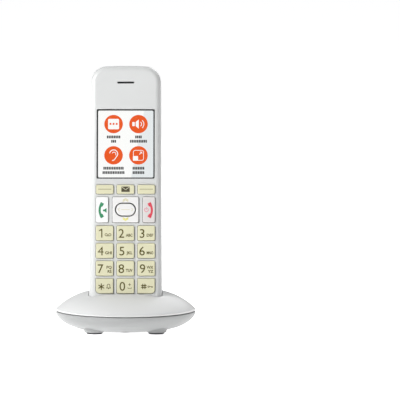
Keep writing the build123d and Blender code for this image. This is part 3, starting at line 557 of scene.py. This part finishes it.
def ink(name, colour):
    """Pad-printing ink: even colour with slightly thin spots, and a soft grain."""
    mix = Recipe(name)
    here = mix.place()
    thin = mix.noise(here, 1800.0, 3.0)
    return mix.surface(
        Base_Color=mix.blend(thin, colour, scaled(colour, 1.3)),
        Roughness=0.5,
        Specular_IOR_Level=0.2,
        Normal=mix.bump(thin, 0.000004),
    )


olive_ink = ink("olive_ink", (0.085, 0.071, 0.016))
brown_ink = ink("brown_ink", (0.072, 0.064, 0.040))
olive_thin_ink = ink("olive_thin_ink", (0.30, 0.28, 0.17))
green_ink = ink("green_ink", (0.045, 0.22, 0.11))
red_ink = ink("red_ink", (0.55, 0.06, 0.085))
pink_ink = ink("pink_ink", (0.60, 0.22, 0.28))
yellow_ink = ink("yellow_ink", (0.62, 0.58, 0.17))
pale_ink = ink("pale_ink", (0.55, 0.52, 0.36))

font_figure = 0.73               # how high Blender's own font draws a figure


def lettering(words, height, edge, base, from_right=False, bold=0.0, most=9.0):
    """Plain sans-serif letters as solids: Blender's own font, filled, extruded between the levels 0 and 1,
    and scaled so that a figure is this high. They start at edge, or end there if from_right, and words
    that would come out wider than most are narrowed to it. bold grows their outlines."""
    text = bpy.data.curves.new("letters", "FONT")
    text.body = words
    text.extrude = 0.5
    text.offset = bold
    text.resolution_u = 5
    lettered = bpy.data.objects.new("letters", text)
    bpy.context.scene.collection.objects.link(lettered)
    mesh = bpy.data.meshes.new_from_object(lettered)
    flat = np.empty(3 * len(mesh.vertices))
    mesh.vertices.foreach_get("co", flat)
    points = flat.reshape(-1, 3)
    faces = [list(side.vertices) for side in mesh.polygons]
    bpy.data.objects.remove(lettered)
    bpy.data.meshes.remove(mesh)
    grow = height / font_figure
    start = points[:, 0].max() if from_right else points[:, 0].min()
    narrow = min(1.0, most / (np.ptp(points[:, 0]) * grow))
    x = (points[:, 0] - start) * grow * narrow + edge
    return np.column_stack([x, points[:, 1] * grow + base, points[:, 2] + 0.5]), faces


figure_tall = 6.3
figure_left = {"1": -3.9, "5": -4.1, "0": -4.0, "3": -4.4, "9": -4.4}  # where these start, from the middle
other_left = -4.7
figure_base = -3.3
figure_bold = {"4": -0.004}      # the font's 4 comes out heavier than the others
other_bold = 0.003
letter_tall = 2.0
letter_most = 4.5
letter_bold = 0.028
letter_right = 4.8
letter_base = -2.5
pair_bases = (-0.35, -3.2)       # where the letters stand in two lines


def figure_one(left, base):
    """The figure 1 with its flag: an upright stroke and a slanted one that meets its top."""
    top = base + figure_tall
    upright = stroke([(left + 1.9, base + 0.1), (left + 1.9, top - 0.2)], 0.8, round_ends=False)
    return [upright, stroke([(left + 0.3, top - 1.5), (left + 1.9, top - 0.45)], 0.7)]


def loops():
    """The two rings and the tape between them that stand for recorded messages."""
    ring = [stroke(arc((x, 0.85), 0.8, 0, 345, 20), 0.36, closed=True) for x in (1.0, 3.5)]
    return ring + [stroke(np.array([(1.0, 0.05), (3.5, 0.05)]), 0.36)]


def bell():
    """A bell in outline: a dome on straight flanks with a flared foot, and its clapper."""
    dome = arc((0, 0.55), 0.9, 180, 0, 14)
    body = np.concatenate([[(-1.4, -1.2), (-0.9, -0.6)], dome, [(0.9, -0.6), (1.4, -1.2)]])
    clapper = filled(arc((0, -1.65), 0.38, 0, 330, 12))
    return [stroke(body, 0.4), stroke([(-1.4, -1.2), (1.4, -1.2)], 0.4), clapper]


def small_key():
    """The sign for locking the keypad: a ring, a shank and two bits."""
    ring = stroke(arc((-1.2, 0), 0.5, 0, 340, 16), 0.36, closed=True)
    bits = [stroke([(1.4, 0), (1.4, -0.6)], 0.38), stroke([(0.7, 0), (0.7, -0.5)], 0.34)]
    return [ring, stroke([(-0.7, 0), (1.5, 0)], 0.38), *bits]


def moved(shapes, x, v):
    """The same shapes, shifted."""
    return [(points + (x, v, 0), faces) for points, faces in shapes]


star_turns = np.radians((0, 60, 120))
star_rays = 1.95 * np.stack([np.sin(star_turns), np.cos(star_turns)], axis=1)
star_lines = [stroke([-ray, ray], 0.65) for ray in star_rays]
hash_lines = [stroke([(x, -1.55), (x, 1.55)], 0.65) for x in (-0.75, 0.75)]
hash_lines += [stroke([(-1.6, y), (1.6, y)], 0.65) for y in (-0.65, 0.65)]
space_bar = [stroke([(-1.2, 0.35), (-1.2, -0.25), (1.2, -0.25), (1.2, 0.35)], 0.34)]
plus = [stroke([(-0.8, 0), (0.8, 0)], 0.36), stroke([(0, -0.8), (0, 0.8)], 0.36)]
key_letters = {
    "2": "ABC", "3": "DEF", "4": "GHI", "5": "JKL", "6": "MNO", "7": "PQ RS", "8": "TUV", "9": "WX YZ"
}
legends = {
    "key_1": moved(loops(), 0.0, letter_base + 0.4),
    "key_star": moved(star_lines, -2.2, -0.6) + moved(bell(), 2.7, -0.3),
    "key_0": moved(plus, 2.9, 0.8) + moved(space_bar, 2.9, -1.5),
    "key_hash": moved(hash_lines, -1.6, -0.4) + moved(small_key(), 2.8, -0.6),
}
for figure, words in key_letters.items():
    bases = pair_bases if " " in words else (letter_base,)
    legends["key_" + figure] = [
        lettering(word, letter_tall, letter_right, base, True, letter_bold, letter_most)
        for word, base in zip(words.split(), bases)
    ]
for name, shapes in legends.items():
    figure = name[-1]
    left = figure_left.get(figure, other_left)
    if figure == "1":
        shapes = shapes + figure_one(left, figure_base)
    elif figure.isdigit():
        bold = figure_bold.get(figure, other_bold)
        shapes = shapes + [lettering(figure, figure_tall, left, figure_base, bold=bold)]
    on_key(name, shapes, name, olive_ink)

on_key("key_message", [filled(rounded(5.7, 3.7, 0.25))], "key_message", brown_ink)
flap = [stroke([(-2.5, 1.5), (0, -0.4), (2.5, 1.5)], 0.35)]
envelope_top = reach("key_message", outward)[1] + print_thick
printed("legend_key_message_flap", flap, middle("key_message"), envelope_top, print_thick / 2,
        cream_plastic, "key_message")
for name in ("key_soft_left", "key_soft_right"):
    on_key(name, [stroke([(-4.3, 0), (4.3, 0)], 0.5)], name, olive_thin_ink)


def receiver(facing):
    """A telephone receiver from the side: a bow x = 1.5 t^2 - 1, for t from -1 to 1, that swells inwards
    to a cup at each end."""
    t = np.linspace(-1, 1, 41)
    swell = np.clip((np.abs(t) - 0.5) / 0.2, 0, 1)
    swell = swell**2 * (3 - 2 * swell)
    bow = np.stack([facing * (1.5 * t**2 - 1.0 + 0.4 * swell), 5.05 * t], axis=1)
    return [stroke(bow, 1.5 + 0.9 * swell, round_ends=False)]


cone = np.array([(-1.3, -0.6), (-0.4, -0.6), (1.2, -1.6), (1.2, 1.6), (-0.4, 0.6), (-1.3, 0.6)])
talk_signs = moved(receiver(1), -0.7, -0.45) + moved([filled(cone)], 1.8, -0.6)
on_key("key_talk", talk_signs, "key_talk", green_ink)
on_key("key_end", moved(receiver(-1), 1.0, -0.45), "key_end", red_ink)
power_sign = [stroke(arc((0, 0), 1.3, 125, 415, 32), 0.5), stroke([(0, 0.3), (0, 1.7)], 0.5)]
on_key("key_end_power", moved(power_sign, -1.7, -0.2), "key_end", pink_ink)

chevron = np.array([(-1.6, -0.5), (0, 0.5), (1.6, -0.5)])
for name, side, finish in (("up", 1, pale_ink), ("down", -1, yellow_ink)):
    pair = [stroke(chevron * (1, side) + (0, side * v), 0.7) for v in (-0.45, 0.45)]
    on_key("nav_" + name, moved(pair, 0, side * 6.6), "nav_rocker", finish)
arrow_left = np.array([(-4.15, -0.9), (-5.05, 0), (-4.15, 0.9)])
arrows = [stroke(arrow_left * (side, 1), 0.4) for side in (1, -1)]
arrows.append(stroke([(-2.8, 0), (2.8, 0)], 0.3))
on_key("nav_centre", arrows, "nav_centre", pale_ink)

# --- handset: inside ---------------------------------------------------------------------------------
# The silicone mat with its domes, the circuit board with its antenna, the loudspeaker and microphone, the
# charging pads and screws, and two green-sleeved cells between leaf contacts. Some of it shows through the
# grille, at the openings or with the cover off.
mat = Recipe("silicone")
milky = mat.noise(mat.place(), 120.0, 2.0)
dress(
    mat.surface(
        Base_Color=mat.blend(milky, (0.36, 0.35, 0.30), (0.42, 0.41, 0.35)),
        Roughness=0.55,
        Subsurface_Weight=0.15,
        Subsurface_Radius=(0.002, 0.002, 0.0015),
        Normal=mat.bump(mat.noise(mat.place(), 1500.0), 0.000008),
    ),
    "keypad_mat",
)

board = Recipe("circuit_board")
tracks = board.node(
    "ShaderNodeTexBrick",
    {"offset": 0.5},
    {"Vector": board.place(), "Scale": 160.0, "Mortar Size": 0.03, "Color1": (0, 0, 0, 1),
     "Color2": (0.2, 0.2, 0.2, 1), "Mortar": (1, 1, 1, 1)},
    "Fac",
)
green_board = board.surface(
    Base_Color=board.blend(tracks, (0.012, 0.085, 0.03), (0.03, 0.15, 0.05)),
    Roughness=0.35,
    Normal=board.bump(tracks, 0.00003),
)
dress(green_board, "main_board")
scratches_per_metre = (3000.0, 200.0, 200.0)


def metal(name, colour, rough):
    """Metal with fine drawn scratches: noise stretched in two axes, in the gloss and as bump."""
    mix = Recipe(name)
    scratch = mix.noise(mix.place(scale=scratches_per_metre), 1.0, 3.0)
    return mix.surface(
        Base_Color=mix.blend(scratch, scaled(colour, 0.85), colour),
        Metallic=1.0,
        Roughness=rough - 0.08 + 0.16 * scratch,
        Normal=mix.bump(scratch, 0.000004),
    )


dress(metal("pressed_tin", (0.55, 0.55, 0.56), 0.4), "handsfree_speaker", "microphone")
spring_steel = metal("spring_steel", (0.70, 0.69, 0.67), 0.25)
dress(spring_steel, "battery_contacts")
dress(metal("contact_plate", (0.78, 0.74, 0.66), 0.22), "charge_pads")
zinc_screw = metal("zinc_screw", (0.42, 0.42, 0.43), 0.38)
dress(zinc_screw, "handset_screws")
dress(metal("antenna_brass", (0.80, 0.62, 0.30), 0.3), "antenna")

sleeve = Recipe("cell_sleeve")
cell_low, cell_high = reach("battery_cells", up)
bare_rim = 0.0014
cell_v = sleeve.split(sleeve.place(turn=lean_turn), 2)
silver_end = (cell_v > float(cell_high) - bare_rim) + (cell_v < float(cell_low) + bare_rim)
dress(
    sleeve.surface(
        Base_Color=sleeve.blend(silver_end, (0.05, 0.22, 0.09), (0.62, 0.62, 0.62)),
        Metallic=0.4,
        Roughness=0.3 + 0.1 * sleeve.noise(sleeve.place(), 200.0),
    ),
    "battery_cells",
)

# --- base --------------------------------------------------------------------------------------------
# The cover of the base is satin white ABS like the handset, given a paler white as painted light, and the
# bowl under it is glossier and given a grey as painted shade.
# Four rubber feet and four screws sit in its underside, and two black sockets face the back. Inside are the
# board and a black block that carries the charging springs.
# painted light and shade: the cover is a paler copy and the bowl a grey copy of the same white plastic
cover_white_painted_light = moulded("cover_white_painted_light", (0.72, 0.726, 0.722), 0.45, 0.000008)
bowl_white_painted_shade = moulded("bowl_white_painted_shade", (0.34, 0.345, 0.345), 0.34, 0.000004, 0.3)
dress(cover_white_painted_light, "base_cover")
dress(bowl_white_painted_shade, "base_pan")
dress(green_board, "base_board")
dress(spring_steel, "charge_springs")
dress(inner_black, "contact_carrier")
dress(zinc_screw, "base_screws")

rubber = Recipe("foot_rubber")
crumb = rubber.noise(rubber.place(), 1400.0, 4.0)
dress(
    rubber.surface(
        Base_Color=rubber.blend(crumb, (0.028, 0.028, 0.03), (0.05, 0.05, 0.053)),
        Roughness=0.8,
        Normal=rubber.bump(crumb, 0.00003),
    ),
    "base_feet",
)
dress(moulded("socket_black", (0.025, 0.025, 0.026), 0.45), "line_socket", "power_socket")
